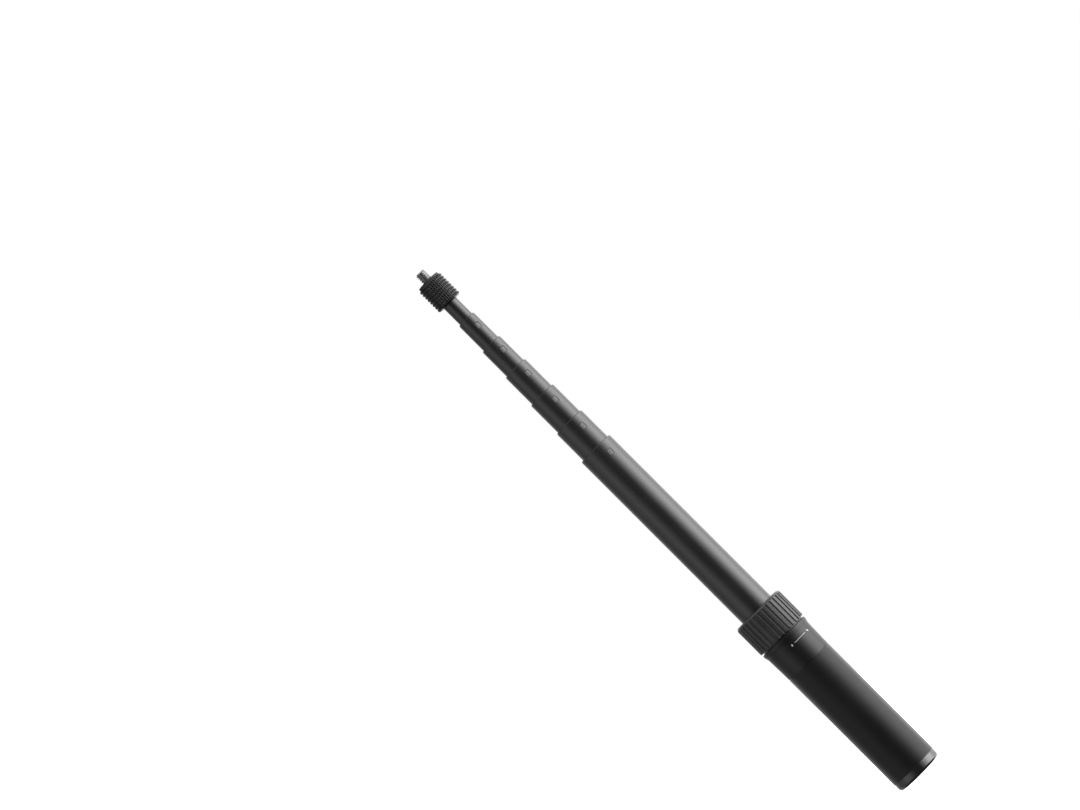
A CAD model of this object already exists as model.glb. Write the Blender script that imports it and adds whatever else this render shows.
"""Looks of a telescopic selfie stick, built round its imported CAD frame.

Metres, with +Z up the pole. Angles round the pole are counted from the front (-Y) towards +X.
"""
import math

import bmesh
import bpy
from mathutils import Matrix, Vector


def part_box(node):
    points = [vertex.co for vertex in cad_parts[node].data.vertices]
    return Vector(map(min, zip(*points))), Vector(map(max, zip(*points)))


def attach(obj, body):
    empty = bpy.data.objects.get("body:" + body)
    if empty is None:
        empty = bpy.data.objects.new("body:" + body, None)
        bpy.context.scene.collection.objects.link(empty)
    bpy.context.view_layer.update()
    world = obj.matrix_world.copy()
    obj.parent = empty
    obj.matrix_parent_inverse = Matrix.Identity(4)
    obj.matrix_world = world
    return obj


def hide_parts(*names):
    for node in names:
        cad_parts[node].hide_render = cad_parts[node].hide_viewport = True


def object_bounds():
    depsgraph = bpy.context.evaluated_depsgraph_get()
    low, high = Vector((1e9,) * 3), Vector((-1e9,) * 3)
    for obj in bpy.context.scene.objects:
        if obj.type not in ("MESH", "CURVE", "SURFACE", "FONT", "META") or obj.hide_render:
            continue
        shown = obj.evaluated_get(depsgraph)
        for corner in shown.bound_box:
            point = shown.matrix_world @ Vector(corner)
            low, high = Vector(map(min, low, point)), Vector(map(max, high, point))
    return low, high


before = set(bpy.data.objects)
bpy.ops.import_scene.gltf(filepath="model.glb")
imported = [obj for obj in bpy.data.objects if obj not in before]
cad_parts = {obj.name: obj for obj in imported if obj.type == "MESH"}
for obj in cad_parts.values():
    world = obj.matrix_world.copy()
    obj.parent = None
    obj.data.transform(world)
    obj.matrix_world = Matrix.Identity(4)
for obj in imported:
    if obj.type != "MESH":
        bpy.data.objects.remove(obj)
cad_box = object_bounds()
MM = 0.001
TURN = 2 * math.pi


# ---------------------------------------------------------------- sizes from the frame

def low(node):
    """Height of a node's lowest point."""
    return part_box(node)[0].z


def top(node):
    """Height of a node's highest point."""
    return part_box(node)[1].z


def radius(node):
    """Outer radius of a node that is round about the pole, on its front side."""
    return -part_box(node)[0].y


SECTIONS = range(1, 8)
WALL = 0.5 * MM
RUNNING = 0.05 * MM
LIP_GAP = 0.3 * MM
FLUTE_DEPTH = 0.5 * MM
FLUTE_RADIUS = 1.0 * MM
WINDOW_DROP = 7.2 * MM
WINDOW_HEIGHT = 3.7 * MM
WINDOW_WIDTH = 3.1 * MM
WINDOW_ROUND = 0.38 * MM
WINDOW_COLUMNS = 16
NUB_GAP = 0.16 * MM
BARREL_R, BARREL_BORE = 13.1 * MM, 11.7 * MM
TUBE_R = {i: radius(f"tube_{i}") for i in SECTIONS}


# ---------------------------------------------------------------- mesh helpers

def polar(r, angle, z):
    """Point at radius r and height z, at an angle from the front."""
    return (r * math.sin(angle), -r * math.cos(angle), z)


def arc(centre, r, start, end, steps):
    """Points (radius, height) of an arc in the profile plane, angles in degrees."""
    turns = [math.radians(start + (end - start) * k / steps) for k in range(steps + 1)]
    return [(centre[0] + r * math.cos(t), centre[1] + r * math.sin(t)) for t in turns]


def outline(corners, steps=5):
    """Closed profile whose corners (radius, height, fillet) are rounded by their fillets."""
    points = []
    for k, (x, y, fillet) in enumerate(corners):
        here = Vector((x, y))
        before = Vector(corners[k - 1][:2]) - here
        after = Vector(corners[(k + 1) % len(corners)][:2]) - here
        half = before.angle(after) / 2
        if fillet <= 0 or half > math.radians(89):
            points.append((x, y))
            continue
        reach = min(fillet / math.tan(half), 0.49 * before.length, 0.49 * after.length)
        r = reach * math.tan(half)
        bisector = (before.normalized() + after.normalized()).normalized()
        middle = here + bisector * (r / math.sin(half))
        first = here + before.normalized() * reach - middle
        last = here + after.normalized() * reach - middle
        turn = math.atan2(first.cross(last), first.dot(last))
        points += [tuple(middle + Matrix.Rotation(turn * s / steps, 2) @ first)
                   for s in range(steps + 1)]
    return points


class Shell:
    """Points and faces of one piece while it is being built."""

    def __init__(self):
        self.points = []
        self.faces = []

    def row(self, points):
        """Adds points and returns their numbers."""
        start = len(self.points)
        self.points += [tuple(p) for p in points]
        return list(range(start, len(self.points)))

    def strip(self, a, b, closed=True):
        """Joins two rows of the same length, or fans one to a row of a single point."""
        n = max(len(a), len(b))
        for k in range(n if closed else n - 1):
            m = (k + 1) % n
            if len(a) == 1:
                self.faces.append((a[0], b[m], b[k]))
            elif len(b) == 1:
                self.faces.append((a[k], a[m], b[0]))
            else:
                self.faces.append((a[k], a[m], b[m], b[k]))

    def lathe(self, profile, angles, reshape=None, closed=True):
        """Turns a profile of (radius, height) about the pole; reshape(r, z, angle) may change a
        radius. Returns the rows of point numbers."""
        rows = []
        for r, z in profile:
            if r < 1e-9:
                rows.append(self.row([(0, 0, z)]))
            elif reshape:
                rows.append(self.row([polar(reshape(r, z, a), a, z) for a in angles]))
            else:
                rows.append(self.row([polar(r, a, z) for a in angles]))
        pairs = zip(rows, rows[1:] + rows[:1]) if closed else zip(rows, rows[1:])
        for a, b in pairs:
            self.strip(a, b)
        return rows

    def piece(self, name, body, material, nodes=(), sharp=32):
        """Makes the Blender object, riding on a body and standing for some CAD nodes."""
        mesh = bpy.data.meshes.new(name)
        mesh.from_pydata(self.points, [], self.faces)
        work = bmesh.new()
        work.from_mesh(mesh)
        bmesh.ops.remove_doubles(work, verts=work.verts, dist=1e-8)
        bmesh.ops.dissolve_degenerate(work, edges=work.edges, dist=1e-8)
        bmesh.ops.recalc_face_normals(work, faces=work.faces)
        work.to_mesh(mesh)
        work.free()
        mesh.shade_smooth()
        mesh.set_sharp_from_angle(angle=math.radians(sharp))
        mesh.materials.append(material)
        made = bpy.data.objects.new(name, mesh)
        bpy.context.scene.collection.objects.link(made)
        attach(made, body)
        if nodes:
            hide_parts(*nodes)


def even(count):
    """Evenly spaced angles all the way round."""
    return [TURN * k / count for k in range(count)]


# ---------------------------------------------------------------- material helpers

class Paint:
    """A node material and short ways to add nodes to it. Textures are laid out in metres."""

    def __init__(self, name, color, roughness, metallic=0.0, **extra):
        self.material = bpy.data.materials.new(name)
        self.material.use_nodes = True
        self.tree = self.material.node_tree
        self.shader = self.tree.nodes["Principled BSDF"]
        self.place = self.tree.nodes.new("ShaderNodeTexCoord").outputs["Object"]
        self.set("Base Color", (*color, 1))
        self.set("Roughness", roughness)
        self.set("Metallic", metallic)
        for socket, value in extra.items():
            self.set(socket.replace("_", " "), value)

    def set(self, socket, value):
        """Sets one of the shader's own sockets."""
        self.shader.inputs[socket].default_value = value

    def join(self, output, target):
        """Links two sockets."""
        self.tree.links.new(output, target)

    def noise(self, size, stretch=(1, 1, 1), detail=3, roughness=0.5):
        """Noise whose features are about size metres, stretched along the axes."""
        scaled = self.tree.nodes.new("ShaderNodeMapping")
        scaled.inputs["Scale"].default_value = [1 / (size * s) for s in stretch]
        self.join(self.place, scaled.inputs["Vector"])
        texture = self.tree.nodes.new("ShaderNodeTexNoise")
        texture.inputs["Scale"].default_value = 1
        texture.inputs["Detail"].default_value = detail
        texture.inputs["Roughness"].default_value = roughness
        self.join(scaled.outputs["Vector"], texture.inputs["Vector"])
        return texture.outputs["Fac"]

    def spread(self, value, from_low, from_high, to_low, to_high):
        """Maps a value from one range to another, clamped."""
        node = self.tree.nodes.new("ShaderNodeMapRange")
        self.join(value, node.inputs["Value"])
        for socket, number in zip(("From Min", "From Max", "To Min", "To Max"),
                                  (from_low, from_high, to_low, to_high)):
            node.inputs[socket].default_value = number
        return node.outputs["Result"]

    def combine(self, a, b, operation="ADD"):
        """One arithmetic step on two values."""
        node = self.tree.nodes.new("ShaderNodeMath")
        node.operation = operation
        for socket, value in zip(node.inputs, (a, b)):
            if isinstance(value, (int, float)):
                socket.default_value = value
            else:
                self.join(value, socket)
        return node.outputs["Value"]

    def shades(self, value, dark, light, start=0.3, end=0.7):
        """Colours the surface from dark to light as a value rises."""
        ramp = self.tree.nodes.new("ShaderNodeValToRGB")
        ramp.color_ramp.elements[0].position = start
        ramp.color_ramp.elements[1].position = end
        ramp.color_ramp.elements[0].color = (*dark, 1)
        ramp.color_ramp.elements[1].color = (*light, 1)
        self.join(value, ramp.inputs["Fac"])
        self.join(ramp.outputs["Color"], self.shader.inputs["Base Color"])

    def rough(self, value):
        """Drives the roughness by a value."""
        self.join(value, self.shader.inputs["Roughness"])

    def bump(self, value, height, strength=1.0):
        """Fine relief of the given height in metres."""
        node = self.tree.nodes.new("ShaderNodeBump")
        node.inputs["Strength"].default_value = strength
        node.inputs["Distance"].default_value = height
        self.join(value, node.inputs["Height"])
        self.join(node.outputs["Normal"], self.shader.inputs["Normal"])


def grey(value, tint=1.0):
    """A neutral colour; a tint above 1 makes it a little cooler."""
    return (value, value, value * tint)


def anodised():
    """Black anodised drawn tube: smooth satin, with faint lines along the pole."""
    paint = Paint("anodised_black", grey(0.014), 0.3, Specular_IOR_Level=0.5)
    lines = paint.noise(0.3 * MM, (1, 1, 90), detail=3)
    blotch = paint.noise(9 * MM, (1, 1, 3))
    paint.shades(blotch, grey(0.012, 1.04), grey(0.017, 1.04))
    paint.rough(paint.combine(paint.spread(lines, 0.3, 0.7, 0.28, 0.31),
                              paint.spread(blotch, 0.35, 0.65, -0.015, 0.015)))
    paint.bump(lines, 0.0003 * MM, 0.3)
    return paint.material


def soft_touch():
    """Matt black sleeve with a very fine grain."""
    paint = Paint("soft_touch_black", grey(0.006), 0.42, Specular_IOR_Level=0.16,
                  Sheen_Weight=1.0, Sheen_Roughness=0.35)
    grain = paint.noise(0.16 * MM, detail=2)
    handling = paint.noise(14 * MM, (1, 1, 2))
    paint.shades(handling, grey(0.005), grey(0.007))
    paint.rough(paint.combine(paint.spread(grain, 0.3, 0.7, 0.38, 0.46),
                              paint.spread(handling, 0.35, 0.65, -0.03, 0.02)))
    paint.bump(grain, 0.006 * MM, 0.5)
    return paint.material


def moulded(name="moulded_black", level=0.007, roughness=0.36, gloss=0.28):
    """Moulded black plastic with a fine spark-eroded grain."""
    paint = Paint(name, grey(level), roughness, Specular_IOR_Level=gloss)
    grain = paint.noise(0.11 * MM, detail=2)
    flow = paint.noise(8 * MM)
    paint.shades(flow, grey(level * 0.88), grey(level * 1.15))
    paint.rough(paint.spread(grain, 0.3, 0.7, roughness - 0.05, roughness + 0.05))
    paint.bump(grain, 0.004 * MM, 0.4)
    return paint.material


def gloss_black():
    """Polished black plastic with faint hairlines."""
    paint = Paint("gloss_black", grey(0.01), 0.18, Specular_IOR_Level=0.65)
    hair = paint.noise(0.3 * MM, (14, 14, 1), detail=3)
    depth = paint.noise(6 * MM)
    paint.shades(depth, grey(0.008), grey(0.012))
    paint.rough(paint.spread(hair, 0.35, 0.7, 0.16, 0.21))
    paint.bump(hair, 0.0004 * MM, 0.3)
    return paint.material


def knurled():
    """Black metal of the clamp wheel, rubbed a little brighter in places."""
    paint = Paint("knurled_black", grey(0.006), 0.24, Specular_IOR_Level=0.3)
    rub = paint.noise(1.2 * MM, detail=4)
    paint.shades(rub, grey(0.004), grey(0.009), 0.35, 0.7)
    paint.rough(paint.spread(rub, 0.3, 0.7, 0.24, 0.34))
    paint.bump(paint.noise(0.07 * MM), 0.001 * MM, 0.3)
    return paint.material


def machined(name, color, roughness=0.25, size=0.12):
    """Turned metal with fine rings round the pole."""
    paint = Paint(name, color, roughness, metallic=1.0)
    rings = paint.noise(size * MM, (40, 40, 1), detail=3)
    cloud = paint.noise(2.5 * MM)
    paint.shades(cloud, [c * 0.82 for c in color], color)
    paint.rough(paint.spread(rings, 0.3, 0.7, roughness - 0.06, roughness + 0.1))
    paint.bump(rings, 0.003 * MM, 0.4)
    return paint.material


def acetal(name="acetal_grey", level=0.07):
    """Smooth satin engineering plastic."""
    paint = Paint(name, grey(level), 0.4)
    cloud = paint.noise(1.5 * MM)
    paint.shades(cloud, grey(level * 0.85), grey(level * 1.12))
    paint.rough(paint.spread(cloud, 0.3, 0.7, 0.36, 0.46))
    paint.bump(paint.noise(0.1 * MM), 0.003 * MM, 0.3)
    return paint.material


def rubber():
    """Matt black rubber."""
    paint = Paint("black_rubber", grey(0.02), 0.7, Specular_IOR_Level=0.35)
    grain = paint.noise(0.2 * MM, detail=4)
    paint.shades(grain, grey(0.016), grey(0.026))
    paint.rough(paint.spread(grain, 0.3, 0.7, 0.64, 0.78))
    paint.bump(grain, 0.015 * MM, 0.5)
    return paint.material


def printed():
    """Pale pad-printed ink of the lock marks."""
    paint = Paint("printed_ink", grey(0.5), 0.5)
    speck = paint.noise(0.12 * MM, detail=3)
    paint.shades(speck, grey(0.4), grey(0.55), 0.3, 0.55)
    paint.rough(paint.spread(speck, 0.3, 0.7, 0.45, 0.6))
    return paint.material


ANODISED = anodised()
SOFT = soft_touch()
MOULDED = moulded()
RING_PLASTIC = moulded("ring_black", 0.028, 0.36, 0.35)
GLOSS = gloss_black()
KNURLED = knurled()
STEEL = machined("plain_steel", grey(0.55, 1.03))
STUD_STEEL = machined("stud_steel", grey(0.29, 1.03), 0.36)
BRASS = machined("turned_brass", (0.72, 0.5, 0.2))
ACETAL = acetal()
DARK_ACETAL = acetal("acetal_dark", 0.06)
RUBBER = rubber()
INK = printed()


# ---------------------------------------------------------------- grip

def make_base_cap():
    """Glossy cap that closes the bottom of the grip, with a stepped hole for the insert."""
    r = radius("base_cap")
    seam = low("handle_sleeve")
    spigot_r = BARREL_BORE
    hole_r, step_r = 4.8 * MM, 6 * MM
    step = 1.3 * MM
    profile = outline([
        (step_r, 0, 0.15 * MM), (r, 0, 2 * MM), (r, seam, 0.15 * MM),
        (spigot_r, seam, 0), (spigot_r, top("base_cap"), 0.3 * MM),
        (hole_r, top("base_cap"), 0), (hole_r, step, 0), (step_r, step, 0)], steps=8)
    shell = Shell()
    shell.lathe(profile, even(160))
    shell.piece("base_cap_shell", "handle", GLOSS, ["base_cap"])


SEAM = 0.4 * MM
SEAM_R = 13.8 * MM


def make_sleeve():
    """Soft sleeve on the grip, ending just short of the collar to leave a dark seam."""
    r, inner = radius("handle_sleeve"), BARREL_R
    z0, z1 = low("handle_sleeve"), top("handle_sleeve") - SEAM
    profile = outline([(inner, z0, 0), (r, z0, 0.15 * MM), (r, z1, 0.06 * MM), (inner, z1, 0)])
    shell = Shell()
    shell.lathe(profile, even(160))
    shell.piece("grip_sleeve", "handle", SOFT, ["handle_sleeve"])


LIP_TOP = low("lock_ring") - 0.9 * MM
WAIST = LIP_TOP - 4.2 * MM
FLARE_HEIGHT = 3 * MM
LIP_ROUND = 0.5 * MM


def collar_radius(z):
    """Outer radius of the collar at a height: slim at the sleeve, flaring to its lip."""
    slim, waist, lip = 14.6 * MM, 15 * MM, radius("collar")
    flare = min(max((z - WAIST) / FLARE_HEIGHT, 0), 1)
    rise = min((z - low("collar")) / (WAIST - low("collar")), 1)
    return slim + (waist - slim) * rise + (lip - waist) * flare ** 2 * (3 - 2 * flare)


def make_collar():
    """Collar above the sleeve: a thin foot below the seam's groove, a low neck inside the lip."""
    z0, z1 = low("collar"), LIP_TOP
    lip = collar_radius(z1)
    flare_top = z1 - LIP_ROUND
    heights = [z0 + (WAIST - z0) * k / 12 for k in range(12)]
    heights += [WAIST + (flare_top - WAIST) * k / 20 for k in range(21)]
    side = [(collar_radius(z), z) for z in heights]
    foot_r, foot = radius("handle_sleeve") - 0.05 * MM, z0 - SEAM
    groove = [(foot_r, foot), (foot_r, foot + 0.04 * MM), (SEAM_R, foot + 0.06 * MM), (SEAM_R, z0)]
    edge = arc((lip - LIP_ROUND, flare_top), LIP_ROUND, 0, 90, 6)
    neck_r, neck_top = 14.3 * MM, top("collar")
    neck = [(neck_r, z1), (neck_r, neck_top), (BARREL_R, neck_top)]
    shell = Shell()
    shell.lathe([(BARREL_R, foot)] + groove + side + edge[1:] + neck, even(160))
    shell.piece("collar_shell", "handle", MOULDED, ["collar"])


# ---------------------------------------------------------------- lock marks

MARK_HEIGHT = low("collar") + 12.9 * MM
MARK_THICK = 0.03 * MM
MARK_SINK = -0.05 * MM


def wrap(s, z, lift):
    """Puts a flat point (along the collar, up) on the collar's surface, lifted off it."""
    r = collar_radius(z)
    return polar(r + lift, s / r, z)


def print_shape(shell, loop, centre):
    """A thin printed shape on the collar from a closed outline, fanned from its centre."""
    base = [wrap(s, z, MARK_SINK) for s, z in loop]
    face = [wrap(s, z, MARK_THICK) for s, z in loop]
    lower, upper = shell.row(base), shell.row(face)
    shell.strip(lower, upper)
    shell.strip(upper, shell.row([wrap(*centre, MARK_THICK)]))
    shell.strip(lower, shell.row([wrap(*centre, MARK_SINK)]))


def print_band(shell, path, width):
    """A thin printed stroke of even width along an open path of (along, up) points."""
    left, right = [], []
    for k, (s, z) in enumerate(path):
        s0, z0 = path[max(k - 1, 0)]
        s1, z1 = path[min(k + 1, len(path) - 1)]
        along = Vector((s1 - s0, z1 - z0)).normalized() * width / 2
        left.append((s - along.y, z + along.x))
        right.append((s + along.y, z - along.x))
    rows = []
    for side, lift in ((left, MARK_SINK), (left, MARK_THICK),
                       (right, MARK_THICK), (right, MARK_SINK)):
        rows.append(shell.row([wrap(s, z, lift) for s, z in side]))
    for a, b in zip(rows, rows[1:] + rows[:1]):
        shell.strip(a, b, closed=False)
    shell.faces.append([row[0] for row in rows])
    shell.faces.append([row[-1] for row in rows][::-1])


def padlock(shell, s, is_open):
    """A tiny padlock: a rounded body with a bowed shackle, swung clear when open."""
    half, high, round_r = 0.48 * MM, 0.35 * MM, 0.12 * MM
    middle = MARK_HEIGHT - 0.25 * MM
    loop = []
    for sx, sz, start in ((1, 1, 0), (-1, 1, 90), (-1, -1, 180), (1, -1, 270)):
        corner = (s + sx * (half - round_r), middle + sz * (high - round_r))
        loop += arc(corner, round_r, start, start + 90, 4)
    print_shape(shell, loop, (s, middle))
    bow, leg, stroke = 0.32 * MM, 0.2 * MM, 0.17 * MM
    foot = middle + high
    s -= 2 * bow if is_open else 0
    lifted = 0.15 * MM if is_open else 0
    path = [(s + bow, foot)] + arc((s, foot + leg), bow, 0, 180, 12) + [(s - bow, foot + lifted)]
    print_band(shell, path, stroke)


def make_marks():
    """Closed padlock, line and open padlock printed round the collar's front."""
    shell = Shell()
    r = collar_radius(MARK_HEIGHT)
    padlock(shell, math.radians(-25.3) * r, False)
    padlock(shell, math.radians(26.5) * r, True)
    start, end = math.radians(-18) * r, math.radians(17) * r
    line = [(start + (end - start) * k / 24, MARK_HEIGHT) for k in range(25)]
    print_band(shell, line, 0.24 * MM)
    shell.piece("lock_marks", "handle", INK)


# ---------------------------------------------------------------- lock ring

def make_lock_ring():
    """Ribbed ring: straight grooves end in round heads below the rounded top edge."""
    grooves = 32
    pitch = TURN / grooves
    first = math.radians(94.4)
    r = radius("lock_ring")
    z0, z1 = low("lock_ring"), top("lock_ring")
    bore, flange, flange_low = 14.3 * MM, 11.3 * MM, z1 - 2 * MM
    depth, cutter, soft = 0.65 * MM, 0.8 * MM, 0.1 * MM
    head = z1 - 1.0 * MM - cutter

    def cut(r_here, z, angle):
        along = ((angle - first + pitch / 2) % pitch - pitch / 2) * r
        reach = math.hypot(along, max(z - head, 0))
        if r_here < bore + 0.6 * MM or reach >= cutter:
            return r_here
        floor = r + cutter - depth - math.sqrt(cutter ** 2 - reach ** 2)
        blend = max(soft - abs(floor - r_here), 0) / soft
        return min(floor, r_here) - blend * blend * soft / 4

    steps = [0, 0.2, 0.38, 0.52, 0.6, 0.66, 0.71, 0.75, 0.8, 0.95, 1.2]
    offsets = sorted({s * MM / r for s in steps} | {-s * MM / r for s in steps} | {-pitch / 2})
    angles = [first + k * pitch + o for k in range(grooves) for o in offsets]
    fine = [head + cutter * k / 8 for k in range(-2, 12)]
    wall = [z0 + 0.4 * MM + (fine[0] - z0 - 0.4 * MM) * k / 6 for k in range(6)] + fine
    wall = [z for z in wall if z < z1 - 2.05 * MM]
    profile = [(bore, z0), (r - 0.4 * MM, z0), (r - 0.12 * MM, z0 + 0.12 * MM)]
    profile += [(r, z) for z in wall]
    profile += arc((r - 2 * MM, z1 - 2 * MM), 2 * MM, 0, 90, 24)
    inner_round = 0.3 * MM
    profile += [(flange + inner_round, z1)]
    profile += arc((flange + inner_round, z1 - inner_round), inner_round, 90, 180, 3)
    profile += [(flange, flange_low), (bore, flange_low)]
    shell = Shell()
    shell.lathe(profile, angles, cut)
    shell.piece("ribbed_lock_ring", "lock_ring", RING_PLASTIC, ["lock_ring"])


# ---------------------------------------------------------------- tubes and bushes

def flute(r, centre, cutter, angle, blend=0.06 * MM):
    """Radius of a round outline with a flute down its back, with softened shoulders."""
    back = angle - math.pi
    side = centre * math.sin(back)
    if math.cos(back) < 0 or abs(side) >= cutter:
        return r
    bottom = centre * math.cos(back) - math.sqrt(cutter ** 2 - side ** 2)
    h = max(blend - abs(bottom - r), 0) / blend
    return min(bottom, r) - h * h * blend / 4


def flute_centre(i):
    """Distance of the flute cutter's axis from the pole's axis."""
    return TUBE_R[i] - FLUTE_DEPTH + FLUTE_RADIUS


def tube_angles(r):
    """Angles round a tube: fine across the window in front and across the flute behind."""
    window = 2.6 * MM / r
    centre = r - FLUTE_DEPTH + FLUTE_RADIUS
    shoulder = math.asin(min(FLUTE_RADIUS / centre, 1))
    front = [-window + 2 * window * k / WINDOW_COLUMNS for k in range(WINDOW_COLUMNS + 1)]
    back = [math.pi - shoulder * 1.2 + 2.4 * shoulder * k / 20 for k in range(21)]
    gap = back[0] - front[-1]
    steps = 24
    right = [front[-1] + gap * k / steps for k in range(1, steps)]
    left = [TURN - a for a in reversed(right)]
    return front + right + back + left


def window_loop(grow=0.0):
    """Rounded rectangle of (along, up) points about the window's middle, from the middle of its
    right side, anticlockwise, as many as border gives."""
    w, h, c = WINDOW_WIDTH / 2 + grow, WINDOW_HEIGHT / 2 + grow, WINDOW_ROUND + grow
    quarter = [(w, (h - c) * k / 5) for k in range(5)]
    quarter += arc((w - c, h - c), c, 0, 90, 6)
    quarter += [((w - c) * (1 - k / 5), h) for k in range(1, 5)]
    mirrored = [(-x, y) for x, y in reversed(quarter[1:])]
    loop = quarter + [(0, h)] + mirrored + [(-w, 0)]
    loop += [(x, -y) for x, y in reversed(mirrored)] + [(0, -h)]
    return loop + [(x, -y) for x, y in reversed(quarter[1:])]


def border(rows, first, last, bottom, upper):
    """Point numbers round a block of a grid, from the middle of its right side, anticlockwise."""
    middle_row = (bottom + upper) // 2
    path = [rows[r][last] for r in range(middle_row, upper)]
    path += [rows[upper][c] for c in range(last, first, -1)]
    path += [rows[r][first] for r in range(upper, bottom, -1)]
    path += [rows[bottom][c] for c in range(first, last)]
    path += [rows[r][last] for r in range(bottom, middle_row)]
    return path


def tube_wall(shell, heights, angles, radius_at, window=None):
    """A grid of one side of a tube. With a window, its block is left out and closed in to the
    window's loop. Returns the rows' and the loop's point numbers."""
    rows = [shell.row([polar(radius_at(z, a), a, z) for a in angles]) for z in heights]
    n = len(angles)
    if window is None:
        for a, b in zip(rows, rows[1:]):
            shell.strip(a, b)
        return rows, None
    bottom, upper, middle, grow = window
    for k, (a, b) in enumerate(zip(rows, rows[1:])):
        for c in range(n):
            if not (bottom <= k < upper and c < WINDOW_COLUMNS):
                d = (c + 1) % n
                shell.faces.append((a[c], a[d], b[d], b[c]))
    outer = border(rows, 0, WINDOW_COLUMNS, bottom, upper)
    r = radius_at(middle, 0.0)
    loop = window_loop(grow)
    rim = [(math.atan2(shell.points[p][0], -shell.points[p][1]) * r, shell.points[p][2] - middle)
           for p in outer]
    last = outer
    for share in (0.4, 0.75, 1.0):
        ring = [((1 - share) * s0 + share * s1, (1 - share) * z0 + share * z1)
                for (s0, z0), (s1, z1) in zip(rim, loop)]
        new = shell.row([polar(r, s / r, middle + z) for s, z in ring])
        shell.strip(last, new)
        last = new
    return rows, last


def make_tube(i):
    """One tube, its top edge rolled in over the guide bush, with the bush's window below it."""
    node = f"tube_{i}"
    r, z0, z1 = TUBE_R[i], low(node), top(node)
    centre = flute_centre(i)
    has_window = i < len(SECTIONS)
    roll, lean = (1.3 * MM, 0.35 * MM) if has_window else (0.1 * MM, 0.05 * MM)
    lip_r = TUBE_R[i + 1] + LIP_GAP if has_window else r - WALL
    lip_low = z1 - 0.5 * MM if has_window else z1

    def outside(z, angle):
        rolled = max(z - (z1 - roll), 0) / roll
        drop = lean * (1 - math.sqrt(1 - min(rolled, 1) ** 2 * 0.999))
        return flute(r, centre, FLUTE_RADIUS, angle) - drop

    def inside(z, angle):
        return flute(r - WALL, centre, FLUTE_RADIUS + WALL, angle)

    angles = tube_angles(r)
    middle = z1 - WINDOW_DROP
    reach = 3.0 * MM
    block = [middle - reach + 2 * reach * k / WINDOW_COLUMNS for k in range(WINDOW_COLUMNS + 1)]
    block_rows = (1, 1 + WINDOW_COLUMNS)
    rolled = [z1 - roll * (1 - math.sin(math.radians(90 * k / 7))) for k in range(8)]
    shell = Shell()
    if has_window:
        bevel = 0.07 * MM
        rows_out, hole_out = tube_wall(shell, [z0] + block + rolled, angles, outside,
                                       (*block_rows, middle, bevel))
        rows_in, hole_in = tube_wall(shell, [z0] + block + [lip_low], angles, inside,
                                     (*block_rows, middle, 0.0))
        step_r = r - bevel
        edge = shell.row([polar(step_r, s / step_r, middle + z) for s, z in window_loop(0.0)])
        shell.strip(hole_out, edge)
        shell.strip(edge, hole_in)
    else:
        rows_out, _ = tube_wall(shell, [z0] + rolled, angles, outside)
        rows_in, _ = tube_wall(shell, [z0, lip_low], angles, inside)
    shell.strip(rows_out[0], rows_in[0])
    if has_window:
        lips = [min(lip_r, outside(z1, a) - 0.05 * MM) for a in angles]
        crowns = [min(lip_r + 0.1 * MM, outside(z1, a) - 0.03 * MM) for a in angles]
        rim = shell.row([polar(lip, a, z1 - 0.1 * MM) for lip, a in zip(lips, angles)])
        under = shell.row([polar(lip, a, lip_low) for lip, a in zip(lips, angles)])
        crown = shell.row([polar(high, a, z1) for high, a in zip(crowns, angles)])
        shell.strip(rows_out[-1], crown)
        shell.strip(crown, rim)
        shell.strip(rim, under)
        shell.strip(under, rows_in[-1])
    else:
        shell.strip(rows_out[-1], rows_in[-1])
    shell.piece(f"pole_tube_{i}", f"section_{i}", ANODISED, [node])


def make_guide_bush(i):
    """Bush in a tube's top, with the nub that snaps into the window."""
    node = f"guide_bush_{i}"
    r = TUBE_R[i]
    z0, z1 = low(node), top(node)
    angles = tube_angles(r)
    outer_centre = flute_centre(i)
    shell = Shell()
    outer = [shell.row([polar(flute(r - WALL, outer_centre, FLUTE_RADIUS + WALL, a), a, z)
                        for a in angles]) for z in (z0, z1)]
    inner = [shell.row([polar(flute(TUBE_R[i + 1] + RUNNING, flute_centre(i + 1),
                                    FLUTE_RADIUS - RUNNING, a), a, z) for a in angles])
             for z in (z0, z1)]
    shell.strip(*outer)
    shell.strip(*inner)
    shell.strip(outer[0], inner[0])
    shell.strip(outer[1], inner[1])
    middle = top(f"tube_{i}") - WINDOW_DROP
    face_r = r - 0.15 * MM
    soft = 0.1 * MM
    last = shell.row([polar(r - WALL - 0.1 * MM, s / r, middle + z)
                      for s, z in window_loop(-NUB_GAP)])
    shell.faces.append(last[::-1])
    for k in range(6):
        turn = math.radians(90 * k / 5)
        inset = soft * (1 - math.cos(turn))
        lift = face_r - soft * (1 - math.sin(turn))
        ring = shell.row([polar(lift, s / r, middle + z)
                          for s, z in window_loop(-NUB_GAP - inset)])
        shell.strip(last, ring)
        last = ring
    for share in (0.66, 0.33):
        ring = shell.row([polar(face_r, share * s / r, middle + share * z)
                          for s, z in window_loop(-NUB_GAP - soft)])
        shell.strip(last, ring)
        last = ring
    shell.strip(last, shell.row([polar(face_r, 0, middle)]))
    shell.piece(f"bush_with_nub_{i}", f"section_{i}", ACETAL, [node])


# ---------------------------------------------------------------- head

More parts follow.
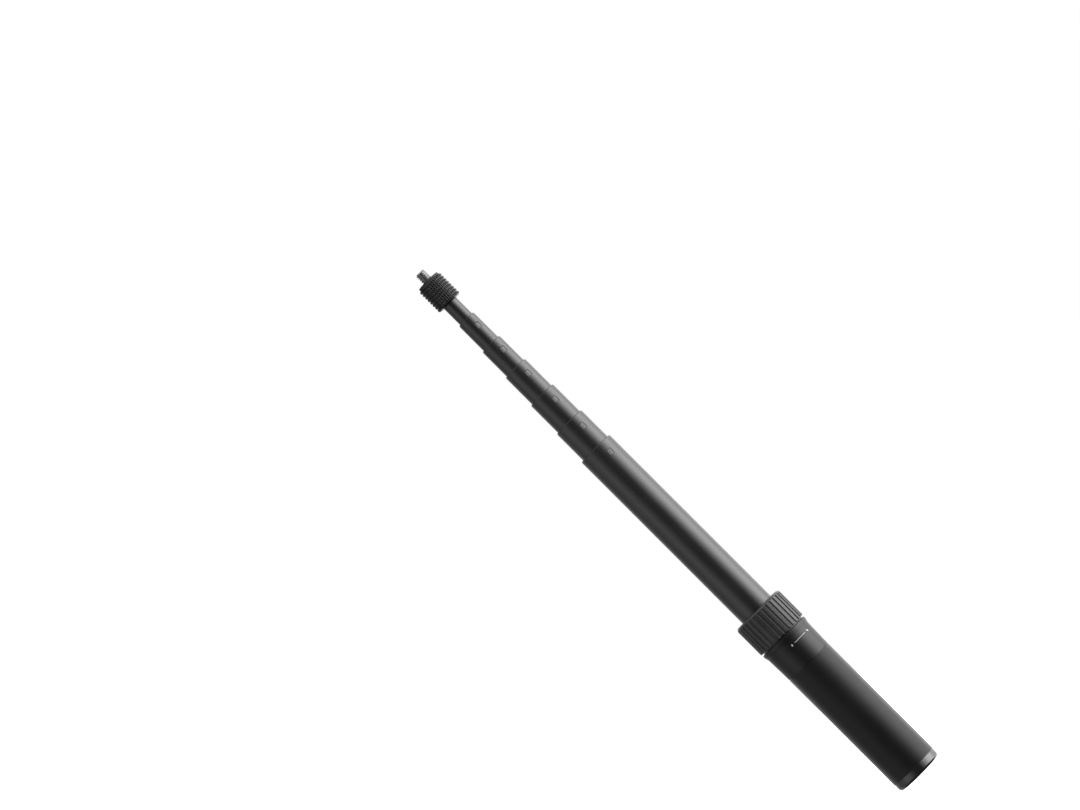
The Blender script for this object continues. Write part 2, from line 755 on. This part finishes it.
def make_head_plug():
    """Plug in the last tube, with the shoulder and the grooved axle for the clamp wheel."""
    z0, z1 = low("head_plug"), top("head_plug")
    tube_top = top("tube_7")
    shoulder = tube_top + 0.8 * MM
    r = radius("head_plug")
    axle, groove = 2.6 * MM, 2.1 * MM
    groove_low, groove_high = low("axle_clip"), top("axle_clip")
    body = TUBE_R[7] - WALL - FLUTE_DEPTH
    profile = [(0, z0)]
    profile += outline([
        (0, z0, 0), (body, z0, 0.4 * MM), (body, tube_top, 0), (r, tube_top, 0.1 * MM),
        (r, shoulder, 0.2 * MM), (axle, shoulder, 0), (axle, groove_low, 0),
        (groove, groove_low, 0), (groove, groove_high, 0), (axle, groove_high, 0),
        (axle, z1, 0.3 * MM), (0, z1, 0)])[1:]
    shell = Shell()
    shell.lathe(profile, even(96), closed=False)
    shell.piece("head_axle", "section_7", ANODISED, ["head_plug"])


def make_clamp_wheel():
    """Wheel with a knurl of small blunt pyramids, in level rows and straight columns."""
    z0, z1 = low("clamp_wheel"), top("clamp_wheel")
    peak, depth = radius("clamp_wheel"), 0.5 * MM
    around, rows = 36, 8
    foot, slope, narrow = 0.94, 0.72, 1.06
    end_r = peak - depth - 0.2 * MM
    pitch = (z1 - z0) / rows
    stud_seat, pocket, bore = 5.2 * MM, 4.8 * MM, 2.65 * MM
    shelf, seat = low("thrust_washer"), low("camera_stud")

    def cut(r_here, z, angle):
        if r_here < peak:
            return r_here
        across = abs(angle * around / TURN % 1 - 0.5) * 2
        along = abs((z - z0) / pitch % 1 - 0.5) * 2
        share = min(max((foot - max(across * narrow, along)) / slope, 0), 1)
        return peak - depth * (1 - share)

    phases = [0, 0.06, 0.12, 0.24, 0.36, 0.44, 0.56, 0.64, 0.76, 0.88, 0.94]
    profile = [(bore, z0), (end_r, z0)]
    profile += [(peak, z0 + (row + phase) * pitch) for row in range(rows) for phase in phases[1:]]
    profile += [(end_r, z1), (stud_seat, z1), (stud_seat, seat), (pocket, seat),
                (pocket, shelf), (bore, shelf)]
    angles = [TURN * (column + phase) / around for column in range(around) for phase in phases]
    shell = Shell()
    shell.lathe(profile, angles, cut)
    shell.piece("knurled_clamp_wheel", "clamp_wheel", KNURLED, ["clamp_wheel"],
                sharp=20)


THREAD_SLOPE, THREAD_ROOT = 2.6, 0.16


def thread(shell, z0, z1, major, minor, pitch, rows_per_turn=14, columns=96, chamfer=0.0):
    """Side of a right-hand screw thread as a fine grid; returns its first and last rows."""
    count = max(int((z1 - z0) / pitch * rows_per_turn), 2)
    rows = []
    for k in range(count + 1):
        z = z0 + (z1 - z0) * k / count
        line = []
        for angle in even(columns):
            phase = ((z - z0) / pitch - angle / TURN) % 1
            share = min(max((0.5 - abs(phase - 0.5)) * THREAD_SLOPE - THREAD_ROOT, 0), 1)
            r = minor + (major - minor) * share
            if chamfer:
                r = min(r, major - max(z - (z1 - chamfer), 0))
            line.append(polar(r, angle, z))
        rows.append(shell.row(line))
    for a, b in zip(rows, rows[1:]):
        shell.strip(a, b)
    return rows[0], rows[-1]


def make_stud():
    """Camera stud: a flange seated in the wheel and a quarter-inch thread above the pad."""
    z0, z1 = low("camera_stud"), top("camera_stud")
    seat = top("clamp_wheel")
    flange = 5.2 * MM
    major, minor, pitch = 3.175 * MM, 2.45 * MM, 1.27 * MM
    angles = even(96)
    shell = Shell()
    centre = shell.row([(0, 0, z0)])
    lower = shell.row([polar(flange, a, z0) for a in angles])
    upper = shell.row([polar(flange, a, seat) for a in angles])
    neck = shell.row([polar(minor, a, seat) for a in angles])
    shell.strip(centre, lower)
    shell.strip(lower, upper)
    shell.strip(upper, neck)
    first, last = thread(shell, seat + 0.3 * MM, z1, major, minor, pitch, chamfer=0.7 * MM)
    shell.strip(neck, first)
    shell.strip(last, shell.row([(0, 0, z1)]))
    shell.piece("threaded_stud", "clamp_wheel", STUD_STEEL, ["camera_stud"])


def make_pad():
    """Rubber pad round the stud, with a shallow ring groove in its face."""
    z0, z1 = low("top_pad"), top("top_pad")
    r, bore = radius("top_pad"), 3.4 * MM
    floor, soft = z1 - 0.15 * MM, 0.05 * MM
    profile = outline([
        (bore, z0, 0), (r, z0, 0.1 * MM), (r, z1, 0.3 * MM), (r - 0.8 * MM, z1, soft),
        (r - 0.9 * MM, floor, soft), (r - 1.3 * MM, floor, soft),
        (r - 1.4 * MM, z1, soft), (bore, z1, 0.2 * MM)], steps=4)
    shell = Shell()
    shell.lathe(profile, even(128))
    shell.piece("camera_pad", "clamp_wheel", RUBBER, ["top_pad"])


def make_insert():
    """Brass insert in the base, with a quarter-inch thread inside."""
    z0, z1 = low("base_insert"), top("base_insert")
    flange, body = 6 * MM, 4.8 * MM
    major, minor, pitch = 3.2 * MM, 2.6 * MM, 1.27 * MM
    deep = z0 + 8.4 * MM
    angles = even(96)
    shell = Shell()
    sides = [(major, z0), (flange - 0.15 * MM, z0), (flange, z0 + 0.15 * MM), (flange, z0 + 1 * MM),
             (body, z0 + 1 * MM), (body, z1), (0, z1)]
    shell.lathe(sides, angles, closed=False)
    mouth = shell.row([polar(major, a, z0) for a in angles])
    first, last = thread(shell, z0 + 0.5 * MM, deep, major, minor, pitch)
    shell.strip(mouth, first)
    shell.strip(last, shell.row([(0, 0, deep)]))
    shell.piece("threaded_insert", "handle", BRASS, ["base_insert"])


# ---------------------------------------------------------------- hidden CAD nodes keep their shape

INNER_MATERIALS = {
    "base_bumper": RUBBER, "cap_pins": STEEL, "handle_barrel": ANODISED,
    "brake_sleeve": DARK_ACETAL, "neck_pins": STEEL, "stop_pin": STEEL, "ring_retainer": STEEL,
    "wiper_ring": RUBBER, "cam_ring": DARK_ACETAL, "axle_clip": STEEL,
    "thrust_washer": DARK_ACETAL,
}
INNER_MATERIALS.update({f"slide_bush_{i}": ACETAL for i in SECTIONS})


def dress_inner_nodes():
    """Gives every CAD node that stays its procedural material."""
    for name, material in INNER_MATERIALS.items():
        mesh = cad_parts[name].data
        mesh.materials.clear()
        mesh.materials.append(material)


# ---------------------------------------------------------------- stage, light, camera

def make_stage():
    """Pale floor that sweeps up all round, seen by the camera but not mirrored in the stick."""
    flat, sweep, wall_top = 6.0, 5.0, 14.0
    profile = [(0, 0)] + [(r, 0) for r in (0.1, 0.3, 0.6, 1.2, 3, flat)]
    profile += [(flat + sweep * math.sin(math.radians(t)), sweep * (1 - math.cos(math.radians(t))))
                for t in range(15, 91, 15)]
    profile += [(flat + sweep, wall_top)]
    angles = even(64)
    shell = Shell()
    shell.lathe(profile, angles, closed=False)
    mesh = bpy.data.meshes.new("floor")
    mesh.from_pydata(shell.points, [], shell.faces)
    mesh.shade_smooth()
    floor = bpy.data.objects.new("floor", mesh)
    bpy.context.scene.collection.objects.link(floor)
    paint = Paint("pale_floor", grey(0.85), 0.9, Emission_Color=(1, 1, 1, 1), Emission_Strength=0.9)
    mesh.materials.append(paint.material)
    floor.visible_glossy = False
    floor.visible_diffuse = False


CAMERA_AZIMUTH = -25.0
LIGHT_DISTANCE = 1.5
LIGHT_HEIGHT = 2.4
PANEL_TURN = 15.0
OVERHEAD_HEIGHT, OVERHEAD_SIDE, OVERHEAD_LEVEL = 1.6, 1.6, 1.8
STUDIO_LEVEL = 0.12
# Brightness of the soft light panels by their direction, in degrees to the camera's right.
PANELS = {
    37.5: 1.1, 52.5: 3.6, 67.5: 6.6, 82.5: 7.6, 97.5: 6.2, 112.5: 3.4, 127.5: 2.2, 142.5: 1.7,
    157.5: 1.8, 172.5: 1.5,
    -25: 0.3, -40: 0.75, -55: 1.0, -70: 0.85, -85: 0.5, -100: 0.35, -115: 0.3, -130: 0.35,
    -145: 0.55, -160: 0.8,
}


def panel(name, place, turn, size, level):
    """Soft light panel of a given brightness, not seen itself."""
    data = bpy.data.lights.new(name, "AREA")
    data.shape = "RECTANGLE"
    data.size, data.size_y = size
    data.energy = level * math.pi * size[0] * size[1]
    lamp = bpy.data.objects.new(name, data)
    bpy.context.scene.collection.objects.link(lamp)
    lamp.location = place
    lamp.rotation_euler = turn
    lamp.visible_camera = False


def make_lights():
    """A wide soft light on the right, a faint one on the left and a dim glow behind: tall panels
    side by side on a circle round the pole, with one overhead, in a dim white studio."""
    width = 2 * LIGHT_DISTANCE * math.tan(math.radians(PANEL_TURN / 2))
    middle = cad_box[1][2] / 2
    for aside, level in PANELS.items():
        turn = math.radians(CAMERA_AZIMUTH + aside)
        place = (math.sin(turn) * LIGHT_DISTANCE, -math.cos(turn) * LIGHT_DISTANCE, middle)
        panel(f"panel_{aside:g}", place, (math.pi / 2, 0, turn), (width, LIGHT_HEIGHT), level)
    panel("overhead", (0, 0, OVERHEAD_HEIGHT), (0, 0, 0), (OVERHEAD_SIDE, OVERHEAD_SIDE),
          OVERHEAD_LEVEL)
    world = bpy.data.worlds.new("studio")
    world.use_nodes = True
    background = world.node_tree.nodes["Background"]
    background.inputs["Color"].default_value = (1, 1, 1, 1)
    background.inputs["Strength"].default_value = STUDIO_LEVEL
    bpy.context.scene.world = world
    bpy.context.scene.view_settings.view_transform = "Standard"


def make_camera():
    """Long lens, rolled so that the pole runs from the lower right to the upper left."""
    distance, eye = 2.5, 0.165
    aim_height, aim_left = 0.28815, 0.00462
    turn = math.radians(CAMERA_AZIMUTH)
    across = Vector((math.cos(turn), math.sin(turn), 0))
    away = Vector((math.sin(turn), -math.cos(turn), 0))
    place = away * distance + Vector((0, 0, eye))
    target = Vector((0, 0, aim_height)) - across * aim_left
    forward = (target - place).normalized()
    level_right = forward.cross(Vector((0, 0, 1))).normalized()
    level_up = level_right.cross(forward)
    right = (level_right - level_up).normalized()
    up = (level_right + level_up).normalized()
    data = bpy.data.cameras.new("camera")
    field = 0.591
    data.sensor_width = 36
    data.lens = 36 * (target - place).length / field
    data.clip_end = 200
    camera = bpy.data.objects.new("camera", data)
    camera.matrix_world = Matrix((
        (right.x, up.x, -forward.x, place.x),
        (right.y, up.y, -forward.y, place.y),
        (right.z, up.z, -forward.z, place.z),
        (0, 0, 0, 1)))
    bpy.context.scene.collection.objects.link(camera)
    bpy.context.scene.camera = camera


make_stage()
make_lights()
make_camera()
make_base_cap()
make_insert()
make_sleeve()
make_collar()
make_marks()
make_lock_ring()
for section in SECTIONS:
    make_tube(section)
for section in list(SECTIONS)[:-1]:
    make_guide_bush(section)
make_head_plug()
make_clamp_wheel()
make_stud()
make_pad()
dress_inner_nodes()
